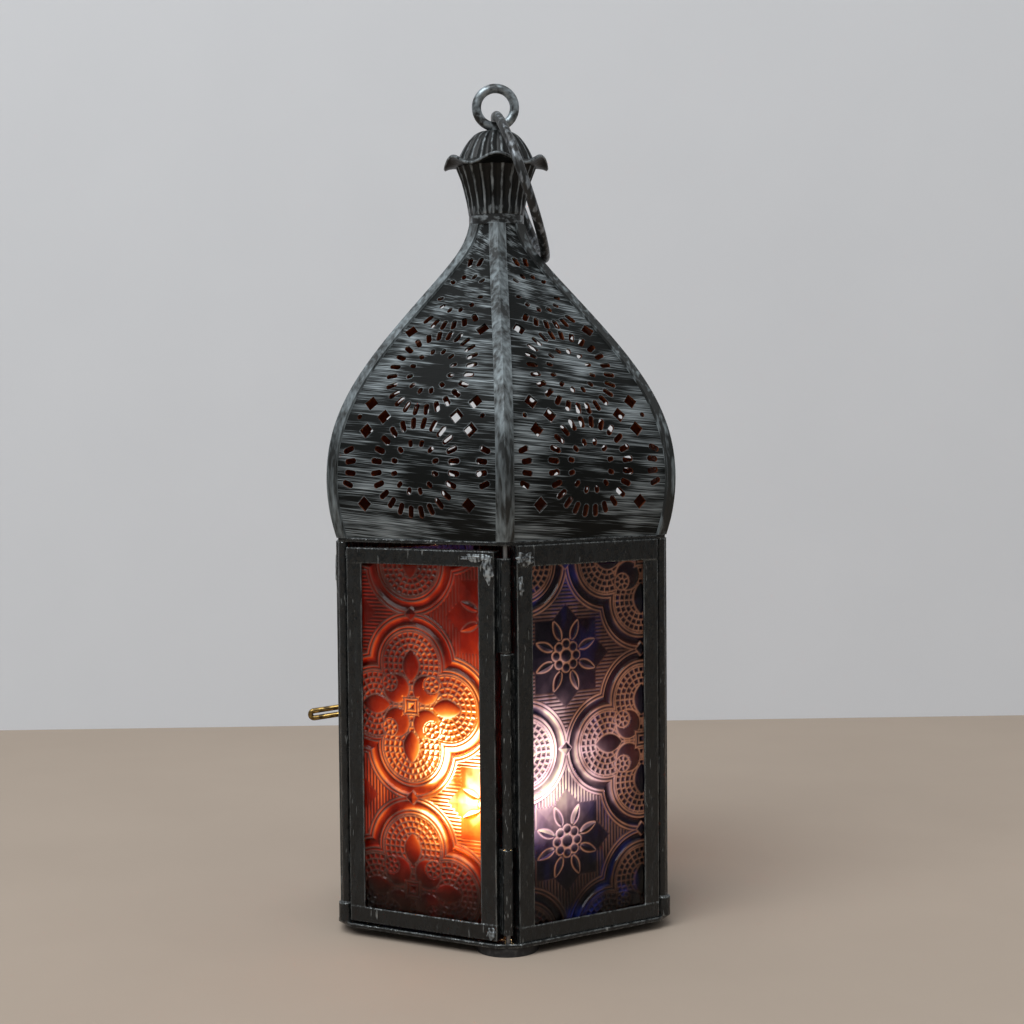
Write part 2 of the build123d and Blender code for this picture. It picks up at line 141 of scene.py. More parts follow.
def blackened(name, scuff_size, bare_from):
    """Black paint over bright sheet, worn on edges and in scuffs of the given size in mm."""
    finish, shader = new_finish(name)
    place = place_on(finish)
    mottle = grain(finish, place, (1.8, 1.8, 5.0), 4.0)
    scuff = grain(finish, place, scuff_size, 5.0)
    rounded = rounded_off(finish, WORN_EDGE)
    edge = edge_of(finish, rounded, 0.88)
    worn_edge = sum_of(finish, "MULTIPLY", edge, share_of(finish, scuff, 0.38, 0.60))
    fleck = share_of(finish, scuff, bare_from, bare_from + FLECK_FADE)
    worn = sum_of(finish, "MAXIMUM", worn_edge, fleck)
    uneven = share_of(finish, mottle, 0.3, 0.7)
    black = mixed(finish, uneven, THICK_BLACK, THIN_BLACK)
    lumps = grain(finish, place, (0.9, 0.9, 2.2), 3.0)
    feed(
        finish,
        shader,
        {
            "Base Color": mixed(finish, worn, black, BARE_SHEET),
            "Metallic": between(finish, worn, 0.0, 0.75),
            "Roughness": between(finish, uneven, 0.14, 0.36),
            "Specular IOR Level": 0.42,
            "Normal": bumped(finish, lumps, 0.5, PAINT_LUMP, rounded),
        },
    )
    return finish


frame_black = blackened("frame_black", (0.7, 0.7, 5.0), 0.67)
paint_nodes(frame_black, "door_frame", *[f"panel_frame_{n}" for n in range(1, 6)])
paint_nodes(frame_black, *[f"corner_post_{n}" for n in range(1, 6)])
plate_black = blackened("plate_black", (1.6, 1.6, 1.2), 0.66)
paint_nodes(plate_black, "base_plate", "top_ring")

# Solder: flat silver blobs where the frames' top corners meet the hinge, at the latch's corner
# and at the door's foot. Run on by hand over the black paint and left bright.
FRAME_FACE = 43.95
SOLDER_THICK = 0.4
SIXTH_TURN = 60


def points_of(piece):
    """The places of all points of a piece, one row for each."""
    places = np.empty(3 * len(piece.data.vertices))
    piece.data.vertices.foreach_get("co", places)
    return places.reshape(-1, 3)


def put_points(piece, places):
    """Moves the points of a piece to new places, given along each axis in mm."""
    piece.data.vertices.foreach_set("co", np.stack(places, axis=1).ravel() / 1000)


def on_side(side, outwards, sideways):
    """Where a point lies that is so far outwards and sideways on one of the six sides."""
    turn = math.radians(SIXTH_TURN * side - SIXTH_TURN)
    right = outwards * math.cos(turn) - sideways * math.sin(turn)
    back = outwards * math.sin(turn) + sideways * math.cos(turn)
    return right, back


def settle(piece, body, slot, *replaced):
    """Puts a finished piece on its body, in place of CAD pieces."""
    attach(piece, body)
    if replaced:
        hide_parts(*replaced)


solder_silver, solder_shader = new_finish("solder_silver")
solder_pits = grain(solder_silver, place_on(solder_silver), (0.8, 0.8, 1.6), 5.0)
solder_share = share_of(solder_silver, solder_pits, 0.42, 0.62)
feed(
    solder_silver,
    solder_shader,
    {
        "Base Color": mixed(solder_silver, solder_share, (0.008, 0.009, 0.010, 1), (0.36, 0.40, 0.42, 1)),
        "Metallic": between(solder_silver, solder_share, 0.1, 0.7),
        "Roughness": between(solder_silver, solder_pits, 0.28, 0.5),
        "Normal": bumped(solder_silver, solder_pits, 0.5, 0.0005),
    },
)


def solder_blob(name, body, side, sideways, height, half_width, half_height):
    """A flat lumpy blob on the outer face of a frame, on one of the six sides, in mm."""
    bpy.ops.object.select_all(action="DESELECT")
    bpy.ops.mesh.primitive_uv_sphere_add(segments=40, ring_count=24, radius=1)
    blob = bpy.context.object
    blob.name = name
    out, across, up = points_of(blob).T
    lumps = 1 + 0.22 * np.sin(5 * across + 2 * height) * np.cos(4 * up + sideways)
    lumps = lumps + 0.12 * np.sin(11 * up)
    distance = FRAME_FACE + SOLDER_THICK * out * lumps
    shift = sideways + half_width * across * lumps
    put_points(blob, (*on_side(side, distance, shift), height + half_height * up * lumps))
    bpy.ops.object.shade_smooth()
    blob.data.materials.append(solder_silver)
    settle(blob, body, "dark_metal")


# each blob: its name, body and side, then its middle, sideways and up, and its half sizes
solder_places = (
    ("solder_door_top", "door", 5, 20.2, 99.0, 1.5, 3.6),
    ("solder_door_head", "door", 5, 17.0, 101.6, 4.2, 1.0),
    ("solder_panel_top", "lantern", 0, -19.6, 101.2, 2.4, 1.7),
    ("solder_panel_stile", "lantern", 0, -20.9, 94.5, 0.8, 2.6),
    ("solder_door_foot", "door", 5, 20.4, 6.0, 1.2, 1.6),
    ("solder_latch_post", "lantern", 4, 20.4, 97.0, 1.1, 4.5),
)
for solder_place in solder_places:
    solder_blob(*solder_place)

# Three feet: discs of black rubber glued under every second corner.
# Matt, with a little table dust on them.
foot_rubber, foot_shader = new_finish("foot_rubber")
foot_dust = grain(foot_rubber, place_on(foot_rubber), (1.1, 1.1, 1.1), 6.0)
dust_share = share_of(foot_rubber, foot_dust, 0.5, 0.8)
feed(
    foot_rubber,
    foot_shader,
    {
        "Base Color": mixed(foot_rubber, dust_share, (0.006, 0.006, 0.007, 1), (0.05, 0.048, 0.045, 1)),
        "Roughness": between(foot_rubber, dust_share, 0.6, 0.9),
        "Normal": bumped(foot_rubber, foot_dust, 0.3, 0.0003),
    },
)
paint_nodes(foot_rubber, "foot_front", "foot_right", "foot_left")

# Candle holder: a shallow spun tray of plain steel, soldered to the base plate.
# Dull grey with brush marks round it and heat-browned patches, like the pin, nut and washer.
tray_steel, tray_shader = new_finish("tray_steel")
tray_place = place_on(tray_steel)
tray_marks = grain(tray_steel, tray_place, (3.0, 3.0, 0.3), 4.0)
tray_heat = share_of(tray_steel, grain(tray_steel, tray_place, (9.0, 9.0, 9.0), 3.0), 0.4, 0.65)
feed(
    tray_steel,
    tray_shader,
    {
        "Base Color": mixed(tray_steel, tray_heat, (0.20, 0.20, 0.20, 1), (0.09, 0.07, 0.055, 1)),
        "Metallic": 0.85,
        "Roughness": between(tray_steel, tray_marks, 0.25, 0.65),
    },
)
paint_nodes(tray_steel, "candle_holder", "finial_nut", "finial_washer", "hinge_pin")


# Tea light: a thin pressed foil cup with fine upright crimps, filled with wax.
# The cup's lip is rolled outwards; the wax is melted to a shallow pool round the wick.
def rolled_grid(name, around, along, place):
    """A grid rolled round the lantern's axis. place(turn, share) gives its points in mm."""
    bpy.ops.object.select_all(action="DESELECT")
    bpy.ops.mesh.primitive_grid_add(x_subdivisions=around, y_subdivisions=along, size=2)
    piece = bpy.context.object
    piece.name = name
    points = points_of(piece)
    turn = (points[:, 0] + 1) * math.pi
    share = (points[:, 1] + 1) / 2
    put_points(piece, np.broadcast_arrays(*place(turn, share)))
    bpy.ops.object.mode_set(mode="EDIT")
    bpy.ops.mesh.select_all(action="SELECT")
    bpy.ops.mesh.remove_doubles(threshold=0.000002)
    bpy.ops.mesh.normals_make_consistent(inside=False)
    bpy.ops.object.mode_set(mode="OBJECT")
    bpy.ops.object.shade_smooth_by_angle(angle=math.radians(40))
    return piece


def along_line(share, corners):
    """Radius and height at a share of the way along a profile of (radius, height) corners."""
    corners = np.array(corners, float)
    steps = np.hypot(*np.diff(corners, axis=0).T)
    ends = np.concatenate(([0.0], np.cumsum(steps))) / steps.sum()
    return np.interp(share, ends, corners[:, 0]), np.interp(share, ends, corners[:, 1])


TEA_FLOOR = 3.92
TEA_TOP = 19.92
TEA_R = 19.2
WAX_TOP = 15.7
WAX_SWELL = 0.12
CRIMPS = 96
CRIMP_DEPTH = 0.14


def foil_point(turn, share):
    """The cup: out along its floor, up the crimped wall, over the rolled lip and back inside."""
    profile = (
        (0.0, TEA_FLOOR),
        (18.4, TEA_FLOOR),
        (18.9, TEA_FLOOR + 0.5),
        (TEA_R - 0.25, TEA_TOP - 0.6),
        (TEA_R, TEA_TOP - 0.3),
        (TEA_R - 0.1, TEA_TOP),
        (TEA_R - 0.45, TEA_TOP - 0.2),
        (TEA_R - 0.5, TEA_TOP - 0.8),
        (18.7, TEA_FLOOR + 0.8),
        (18.3, TEA_FLOOR + 0.3),
        (0.0, TEA_FLOOR + 0.3),
    )
    radius, height = along_line(share, profile)
    above_floor = np.clip((height - TEA_FLOOR - 0.5) / 2.0, 0, 1)
    below_lip = np.clip((TEA_TOP - 0.9 - height) / 1.5, 0, 1)
    radius = radius - CRIMP_DEPTH * (above_floor * below_lip) * (0.5 + 0.5 * np.cos(CRIMPS * turn))
    return radius * np.cos(turn), radius * np.sin(turn), height


foil_cup = rolled_grid("tealight_foil_cup", 4 * CRIMPS, 60, foil_point)
foil, foil_shader = new_finish("crimped_foil")
foil_soot = share_of(foil, grain(foil, place_on(foil), (2.0, 2.0, 6.0), 4.0), 0.35, 0.75)
feed(
    foil,
    foil_shader,
    {
        "Base Color": mixed(foil, foil_soot, (0.80, 0.80, 0.81, 1), (0.62, 0.60, 0.57, 1)),
        "Metallic": 1.0,
        "Roughness": between(foil, foil_soot, 0.22, 0.42),
    },
)
foil_cup.data.materials.append(foil)
settle(foil_cup, "tea_light", "tealight_foil", "tealight_cup")


def wax_point(turn, share):
    """The wax: along its underside, up the cup's wall and down into the pool round the wick."""
    profile = (
        (0.0, TEA_FLOOR + 0.35),
        (18.2, TEA_FLOOR + 0.35),
        (18.45, WAX_TOP - 0.6),
        (18.4, WAX_TOP),
        (18.0, WAX_TOP - 0.35),
        (14.0, WAX_TOP - 0.6),
        (9.0, WAX_TOP - 1.0),
        (3.0, WAX_TOP - 1.0),
        (1.2, WAX_TOP - 0.8),
        (0.45, WAX_TOP - 0.3),
        (0.0, WAX_TOP - 0.3),
    )
    radius, height = along_line(share, profile)
    outer_pool = np.clip((radius - 8) / 4, 0, 1) * (height > WAX_TOP - 1.2)
    swell = WAX_SWELL * np.sin(3 * turn) * outer_pool
    return radius * np.cos(turn), radius * np.sin(turn), height + swell * (radius < 16)


wax_fill = rolled_grid("tealight_wax_fill", 96, 60, wax_point)
wax, wax_shader = new_finish("candle_wax")
wax_cloud = grain(wax, place_on(wax), (6.0, 6.0, 6.0), 3.0)
feed(
    wax,
    wax_shader,
    {
        "Base Color": mixed(wax, wax_cloud, (0.86, 0.80, 0.68, 1), (0.93, 0.89, 0.80, 1)),
        "Roughness": between(wax, wax_cloud, 0.2, 0.5),
        "Subsurface Weight": 0.3,
        "Subsurface Scale": 0.003,
    },
)
wax_fill.data.materials.append(wax)
settle(wax_fill, "tea_light", "tealight_wax", "tealight_wax")

# Wick and flame: a braided cotton wick, charred and curled at its tip, in a small flame.
# The flame has a dull blue foot and a bright yellow body that narrows to a point.
WICK_LOW = TEA_FLOOR + 1.4
WICK_TOP = 21.6
WICK_R = 0.5
WICK_BRAID = 0.08
WICK_CURL = 0.9
WICK_CURL_LOW = 18.2
FLAME_LOW = 18.6
FLAME_TOP = 41.0
FLAME_WIDE = 3.7
FLAME_SWAY = 0.7
FLAME_SHIFT = 0.4
FLAME_POWER = 0.1
FLAME_LIGHT = (1.0, 0.62, 0.30)


def wick_point(turn, share):
    """The wick: a thin braid that curls to one side above the wax."""
    height = WICK_LOW + (WICK_TOP - WICK_LOW) * share
    curl = WICK_CURL * np.clip((height - WICK_CURL_LOW) / (WICK_TOP - WICK_CURL_LOW), 0, 1) ** 2
    braid = WICK_BRAID * np.cos(2 * turn + 5 * height)
    radius = (WICK_R + braid) * np.clip(np.minimum(share, 1 - share) / 0.02, 0, 1)
    return radius * np.cos(turn) + curl, radius * np.sin(turn), height


wick = rolled_grid("tealight_wick_braid", 20, 80, wick_point)
char, char_shader = new_finish("charred_cotton")
char_height = add_node(char, "SeparateXYZ", {0: place_on(char)}).outputs[2]
char_share = share_of(char, char_height, 0.0155, 0.0185)
char_fibre = grain(char, place_on(char), (0.3, 0.3, 0.7), 4.0)
cotton = mixed(char, char_fibre, (0.65, 0.58, 0.45, 1), (0.85, 0.80, 0.68, 1))
soot = mixed(char, char_fibre, (0.004, 0.003, 0.003, 1), (0.03, 0.022, 0.018, 1))
feed(char, char_shader, {"Base Color": mixed(char, char_share, cotton, soot), "Roughness": 0.9})
wick.data.materials.append(char)
settle(wick, "tea_light", "tealight_wick", "tealight_wick")


def flame_point(turn, share):
    """The flame: a drop that swells low down and leans a little with the wick."""
    height = FLAME_LOW + (FLAME_TOP - FLAME_LOW) * share
    full = np.sin(math.pi * np.clip(share, 0, 1) ** 0.62) ** 0.85
    sway = FLAME_SWAY * share**2
    radius = FLAME_WIDE * full
    return radius * np.cos(turn) + sway + FLAME_SHIFT, radius * np.sin(turn), height


flame = rolled_grid("candle_flame", 32, 40, flame_point)
burning, burning_shader = new_finish("burning_wax")
burn_height = add_node(burning, "SeparateXYZ", {0: place_on(burning)}).outputs[2]
burn_body = share_of(burning, burn_height, 0.0195, 0.0265)
burn_tip = share_of(burning, burn_height, 0.031, 0.041)
burn_foot = mixed(burning, burn_body, (0.10, 0.16, 0.55, 1), (1.0, 0.72, 0.34, 1))
feed(
    burning,
    burning_shader,
    {
        "Base Color": (0.9, 0.6, 0.3, 1),
        "Emission Color": mixed(burning, burn_tip, burn_foot, (1.0, 0.50, 0.12, 1)),
        "Emission Strength": between(burning, burn_body, 0.6, 9.0),
        "Roughness": 0.8,
    },
)
flame.data.materials.append(burning)
settle(flame, "tea_light", "tealight_wick")

flame_lamp = bpy.data.lights.new("flame_light", "POINT")
flame_lamp.energy = FLAME_POWER
flame_lamp.color = FLAME_LIGHT
flame_lamp.shadow_soft_size = 0.004
flame_glow = bpy.data.objects.new("flame_light", flame_lamp)
flame_glow.location = (0.0008, 0.0, 0.031)
bpy.context.scene.collection.objects.link(flame_glow)

# Glass panes: pressed cathedral glass about 3 mm thick, tinted in the melt, slid into the frames.
# One roller pattern of four-lobed medallions and daisies in hatched fields, 48 mm apart.
FULL_TURN = 2 * math.pi
EIGHTH_TURN = math.pi / 4
PITCH = 48.0
HALF_PITCH = PITCH / 2
THINNEST = 0.05


def ridge_line(distance, width=0.3):
    """A soft raised line of about twice the given half width."""
    return np.exp(-((distance / width) ** 2))


def dome_over(distance, radius):
    """A round swelling, 1 in its middle and 0 from its edge on."""
    return np.sqrt(np.clip(1 - (distance / radius) ** 2, 0, 1))


LOBE_OUT = 10.9
LOBE_R = 9.0
LOBE_RIM = 0.6
BEAD = 1.5
BEAD_LENGTH = 1.6
NET_LINE = 0.26
NET_RISE = 0.34
NET_SINK = 0.12


def beaded_net(span, turn):
    """Height in mm and ridge share of the rows of beads that fill a lobe."""
    row = (LOBE_R - LOBE_RIM - span) / BEAD
    row_edge = np.abs(row - np.round(row)) * BEAD
    row_radius = LOBE_R - LOBE_RIM - (np.floor(row) + 0.5) * BEAD
    count = np.maximum(np.round(FULL_TURN * np.clip(row_radius, 0.8, None) / BEAD_LENGTH), 1)
    step = turn * count / FULL_TURN
    bead_edge = np.abs(step - np.round(step)) * FULL_TURN * span / count
    net = np.maximum(ridge_line(row_edge, NET_LINE), ridge_line(bead_edge, NET_LINE))
    return NET_RISE * net - NET_SINK, net


CURL_RIGHT = 6.3
CURL_UP = 5.9
CURL_SPOKES = 7
CURL_R = 2.2
CURL_EYE_R = 0.8
CURL_END = 2.45
CURL_RISE = 0.05


def spoked_curl(right, up):
    """Ridge share of the four spoked curls of a medallion, and where they lie."""
    curl_right = np.abs(right) - CURL_RIGHT
    curl_up = np.abs(up) - CURL_UP
    curl = np.hypot(curl_right, curl_up)
    step = np.arctan2(curl_up, curl_right) * CURL_SPOKES / FULL_TURN
    spoke = np.abs(step - np.round(step)) * FULL_TURN * curl / CURL_SPOKES
    rings = np.maximum(ridge_line(curl - CURL_R, NET_LINE), ridge_line(curl - CURL_EYE_R, NET_LINE))
    between_rings = (curl > CURL_EYE_R) & (curl < CURL_R)
    net = np.maximum(rings, np.where(between_rings, ridge_line(spoke, NET_LINE), 0))
    return net, curl < CURL_END


DISC_OUT = 4.4
DISC_R = 3.9
DISC_RISE = 0.62
DROP_START = 6.4
DROP_LENGTH = 8.4
DROP_HALF_W = 2.6
DROP_RISE = 0.6
HEART_R = 2.3
HEART_RISE = 0.4
BORDER_LINES = (0.0, 0.95, 3.45, 4.4)
BORDER_RISE = 0.36
GUTTER_START = 0.9
GUTTER_WIDE = 2.6
GUTTER_DEPTH = 0.5


def medallion(right, up):
    """Height in mm and ridge share at mm from a medallion's middle, and how far outside that is."""
    lobes = ((LOBE_OUT, 0.0), (0.0, LOBE_OUT), (-LOBE_OUT, 0.0), (0.0, -LOBE_OUT))
    spans = np.stack([np.hypot(right - lobe_right, up - lobe_up) for lobe_right, lobe_up in lobes])
    turns = np.stack([np.arctan2(up - lobe_up, right - lobe_right) for lobe_right, lobe_up in lobes])
    nearest = spans.argmin(axis=0)[None]
    span = np.take_along_axis(spans, nearest, 0)[0]
    turn = np.take_along_axis(turns, nearest, 0)[0]
    height, ridge = beaded_net(span, turn)
    disc = np.hypot(np.abs(right) - DISC_OUT, np.abs(up) - DISC_OUT)
    height = np.where(disc < DISC_R, DISC_RISE * dome_over(disc, DISC_R), height)
    ridge = np.where(disc < DISC_R, 0.0, ridge)
    ridge = np.maximum(ridge, ridge_line(disc - DISC_R))
    curl_ridge, in_curl = spoked_curl(right, up)
    height = np.where(in_curl, NET_RISE * curl_ridge + CURL_RISE, height)
    ridge = np.where(in_curl, curl_ridge, ridge)
    along = np.maximum(np.abs(right), np.abs(up))
    across = np.minimum(np.abs(right), np.abs(up))
    share = np.clip((along - DROP_START) / DROP_LENGTH, 0, 1)
    half = DROP_HALF_W * np.sin(math.pi * share) ** 0.75
    in_drop = across < half
    drop_rim = ridge_line(across - half) * ((share > 0) & (share < 1))
    drop_height = DROP_RISE * dome_over(across, np.maximum(half, THINNEST)) * half / DROP_HALF_W
    height = np.where(in_drop, drop_height, height)
    ridge = np.maximum(np.where(in_drop, 0.0, ridge), drop_rim)
    heart = np.abs(right) + np.abs(up)
    in_heart = heart < HEART_R
    heart_rim = ridge_line(heart - HEART_R)
    height = np.where(in_heart, HEART_RISE * (1 - heart / HEART_R), height)
    ridge = np.where(in_heart, heart_rim, np.maximum(ridge, heart_rim))
    outside = span - LOBE_R
    inside = outside < -0.3
    border = np.zeros_like(right)
    for line in BORDER_LINES:
        border = np.maximum(border, ridge_line(outside - line))
    in_gutter = (outside > GUTTER_START) & (outside < GUTTER_START + GUTTER_WIDE)
    gutter = np.where(in_gutter, np.sin(math.pi * (outside - GUTTER_START) / GUTTER_WIDE), 0)
    height = np.where(inside, height, BORDER_RISE * border - GUTTER_DEPTH * gutter)
    ridge = np.where(inside, ridge, border)
    return height, ridge, outside


STAR_SQUARE = 9.5
STAR_DIAMOND = 13.5
STAR_RISE = 0.38
STAR_LINE = 0.45
HATCH_STEP = 0.95
HATCH_RISE = 0.2
HATCH_SINK = 0.05
HATCH_LINE = 0.66
DAISY_LINE = 0.25
DAISY_RISE = 0.1
PETAL_START = 4.2
PETAL_LENGTH = 5.6
PETAL_HALF_W = 1.1
PETAL_RISE = 0.42
PEARL_OUT = 3.05
PEARL_R = 1.25
PEARL_RISE = 0.4
PEARLS_END = 4.4
BOSS_R = 1.75
BOSS_END = 1.7
BOSS_RISE = 0.45


def daisy_field(right, up, upright):
    """Height in mm and ridge share in a hatched field, at mm from its daisy's middle."""
    reach = np.hypot(right, up)
    turn = np.arctan2(up, right)
    square = np.maximum(np.abs(right), np.abs(up)) / STAR_SQUARE
    diamond = (np.abs(right) + np.abs(up)) / STAR_DIAMOND
    star = np.minimum(square, diamond)
    hatch = 0.5 + 0.5 * np.cos(FULL_TURN * np.where(upright, right, up) / HATCH_STEP)
    height = np.where(star < 1, STAR_RISE * (1 - star), HATCH_RISE * hatch - HATCH_SINK)
    star_rim = STAR_LINE * ridge_line((1 - star) * STAR_SQUARE)
    ridge = np.where(star < 1, star_rim, HATCH_LINE * hatch)
    petal_turn = np.mod(turn, EIGHTH_TURN) - EIGHTH_TURN / 2
    along = reach * np.cos(petal_turn)
    across = np.abs(reach * np.sin(petal_turn))
    share = np.clip((along - PETAL_START) / PETAL_LENGTH, 0, 1)
    half = PETAL_HALF_W * np.sin(math.pi * share**0.85) ** 0.8
    on_petal = (share > 0) & (share < 1)
    petal_height = PETAL_RISE * (1 - across / np.maximum(half, THINNEST)) + DAISY_RISE
    height = np.where(on_petal & (across < half), petal_height, height)
    ridge = np.maximum(ridge, np.where(on_petal, ridge_line(across - half, DAISY_LINE), 0))
    pearl_turn = np.mod(turn + EIGHTH_TURN / 2, EIGHTH_TURN) - EIGHTH_TURN / 2
    pearl = np.hypot(reach * np.cos(pearl_turn) - PEARL_OUT, reach * np.sin(pearl_turn))
    in_pearls = (reach < PEARLS_END) & (reach > BOSS_END)
    height = np.where(in_pearls, DAISY_RISE + PEARL_RISE * dome_over(pearl, PEARL_R), height)
    ridge = np.where(in_pearls, ridge_line(pearl - PEARL_R, DAISY_LINE), ridge)
    in_boss = reach < BOSS_END
    height = np.where(in_boss, DAISY_RISE + BOSS_RISE * dome_over(reach, BOSS_R), height)
    ridge = np.where(in_boss, 0.0, ridge)
    ridge = np.maximum(ridge, ridge_line(reach - BOSS_R, DAISY_LINE))
    return height, ridge


FIELD_START = 4.8
KNOT_R = 1.9
KNOT_RISE = 0.4


def pressed_relief(right, up):
    """Height in mm and ridge share of the roller pattern, at mm from a medallion's middle."""
    cell_right = np.mod(right + HALF_PITCH, PITCH) - HALF_PITCH
    cell_up = np.mod(up + HALF_PITCH, PITCH) - HALF_PITCH
    height, ridge, outside = medallion(cell_right, cell_up)
    upright = np.mod(np.floor(right / PITCH) + np.floor(up / PITCH), 2) == 0
    daisy_right = np.mod(right, PITCH) - HALF_PITCH
    daisy_up = np.mod(up, PITCH) - HALF_PITCH
    field_height, field_ridge = daisy_field(daisy_right, daisy_up, upright)
    in_field = outside > FIELD_START
    height = np.where(in_field, field_height, height)
    ridge = np.where(in_field, field_ridge, ridge)
    side_knot = np.abs(HALF_PITCH - np.abs(cell_right)) + np.abs(cell_up)
    top_knot = np.abs(cell_right) + np.abs(HALF_PITCH - np.abs(cell_up))
    knot = np.minimum(side_knot, top_knot)
    in_knot = knot < KNOT_R
    height = np.where(in_knot, KNOT_RISE * (1 - knot / KNOT_R), height)
    ridge = np.where(in_knot, 0.0, ridge)
    ridge = np.maximum(ridge, ridge_line(knot - KNOT_R))
    return height, ridge


# Painted candlelight on the panes: where its glow is centred, how far it spreads, and the painted shadow
# of the cup.
GLOW_HEIGHT = 44.0
GLOW_TALL = 1.35
GLOW_PARTS = ((2.4, 11), (0.7, 24), (0.27, 42))
CUP_SHADE_LOW = 8.0
CUP_SHADE_HIGH = 40.0
CUP_SHADE_LIGHT = 0.012


def candlelight(sideways, height, glow_side):
    """Share of the candle's light painted onto a point of a pane: less with distance, little below the
    cup, whose shadow is painted.
    """
    reach = np.hypot(sideways - glow_side, (height - GLOW_HEIGHT) / GLOW_TALL)
    near = 0.0
    for strength, spread in GLOW_PARTS:
        near = near + strength * np.exp(-((reach / spread) ** 2))
    above_cup = np.clip((height - CUP_SHADE_LOW) / (CUP_SHADE_HIGH - CUP_SHADE_LOW), 0, 1)
    clear_of_cup = (1 - CUP_SHADE_LIGHT) * above_cup**2 * (3 - 2 * above_cup)
    return near * (CUP_SHADE_LIGHT + clear_of_cup)


SLOPE_STEP = 0.12
NEAREST_FLAME = 6.0
LEVEL_LIGHT = 0.38
LEAN_LIGHT = 1.15
LEAST_LIGHT = 0.08
MOST_LIGHT = 1.3


def painted_slope_light(right, up, to_side, to_height):
    """Painted shading of the relief: how much light a slope gathers, more where it leans towards the
    flame.
    """
    rise_right = pressed_relief(right + SLOPE_STEP, up)[0] - pressed_relief(right - SLOPE_STEP, up)[0]
    rise_up = pressed_relief(right, up + SLOPE_STEP)[0] - pressed_relief(right, up - SLOPE_STEP)[0]
    away = np.maximum(np.hypot(to_side, to_height), NEAREST_FLAME)
    lean = -(rise_right * to_side + rise_up * to_height) / (2 * SLOPE_STEP * away)
    return np.clip(LEVEL_LIGHT + LEAN_LIGHT * lean, LEAST_LIGHT, MOST_LIGHT)


def keep_on_points(piece, name, values):
    """Stores one number for each point of a piece."""
    mark = piece.data.attributes.new(name, "FLOAT", "POINT")
    mark.data.foreach_set("value", np.asarray(values, float))


PANE_MID = 41.916
PANE_FACE = PANE_MID + 1.28
PANE_BACK = PANE_MID - 1.45
PANE_LIP = PANE_MID + 1.45
PANE_HALF_W = 19.75
PANE_TOP = 101.15
PANE_STEP = 0.21
SIGHT_HALF_W = 17.3
SIGHT_TOP = 98.9
RELIEF_PROUD = 0.5
RELIEF_FADE = 0.3
RIDGE_SHARPNESS = 2.2


def pressed_pane(name, side, low, sight_low, medallion_side, medallion_height, glow_side):
    """One pane with its relief outside and its plain back, on one of the six sides."""
    columns = round(2 * PANE_HALF_W / PANE_STEP)
    rows = round((PANE_TOP - low) / PANE_STEP)
    bpy.ops.object.select_all(action="DESELECT")
    bpy.ops.mesh.primitive_grid_add(x_subdivisions=columns, y_subdivisions=rows, size=2)
    piece = bpy.context.object
    piece.name = name
    bpy.ops.object.mode_set(mode="EDIT")
    bpy.ops.mesh.select_all(action="DESELECT")
    bpy.ops.mesh.select_non_manifold()
    bpy.ops.mesh.extrude_region_move(TRANSFORM_OT_translate={"value": (0, 0, -1)})
    bpy.ops.mesh.edge_face_add()
    bpy.ops.object.mode_set(mode="OBJECT")
    points = points_of(piece)
    front = points[:, 2] > -0.5
    sideways = points[:, 0] * PANE_HALF_W
    height = low + (points[:, 1] + 1) / 2 * (PANE_TOP - low)
    right = sideways - medallion_side
    up = height - medallion_height
    relief, ridge = pressed_relief(right, up)
    free_ends = np.minimum(SIGHT_TOP - height, height - sight_low)
    free = np.minimum(SIGHT_HALF_W - np.abs(sideways), free_ends)
    fade = np.clip(free / RELIEF_FADE, 0, 1)
    outwards = np.minimum(PANE_FACE + relief, PANE_LIP + RELIEF_PROUD * fade)
    outwards = np.where(front, outwards, PANE_BACK)
    put_points(piece, (*on_side(side, outwards, sideways), height))
    # The candle's glow and the relief's shading by it are painted: kept on the pane's front points for
    # its glass to emit.
    lit = candlelight(sideways, height, glow_side)
    slope_shading = painted_slope_light(right, up, glow_side - sideways, GLOW_HEIGHT - height)
    keep_on_points(piece, "ridge", np.where(front, ridge**RIDGE_SHARPNESS, 0.0))
    keep_on_points(piece, "lit", np.where(front, lit, 0.0))
    keep_on_points(piece, "painted_slope_light", np.where(front, slope_shading, 0.0))
    bpy.ops.object.mode_set(mode="EDIT")
    bpy.ops.mesh.select_all(action="SELECT")
    bpy.ops.mesh.normals_make_consistent(inside=False)
    bpy.ops.object.mode_set(mode="OBJECT")
    bpy.ops.object.shade_smooth_by_angle(angle=math.radians(75))
    return piece


def kept(finish, name):
    """A number stored on the points of a piece."""
    return add_node(finish, "Attribute", {}, attribute_name=name).outputs["Fac"]


def brightened(finish, colour, strength):
    """A colour made stronger or weaker."""
    inputs = {0: colour, "Scale": strength}
    return add_node(finish, "VectorMath", inputs, operation="SCALE").outputs[0]


# White-hot middle of the painted candle glow in the glass.
FLAME_WHITE = (1.0, 0.85, 0.55, 1)
GLASS_STREAK = (7.0, 7.0, 11.0)
GLASS_SEED = (0.9, 0.9, 0.9)
STRAY_PATCH = (9.0, 9.0, 14.0)
LINE_SHARE = 0.55


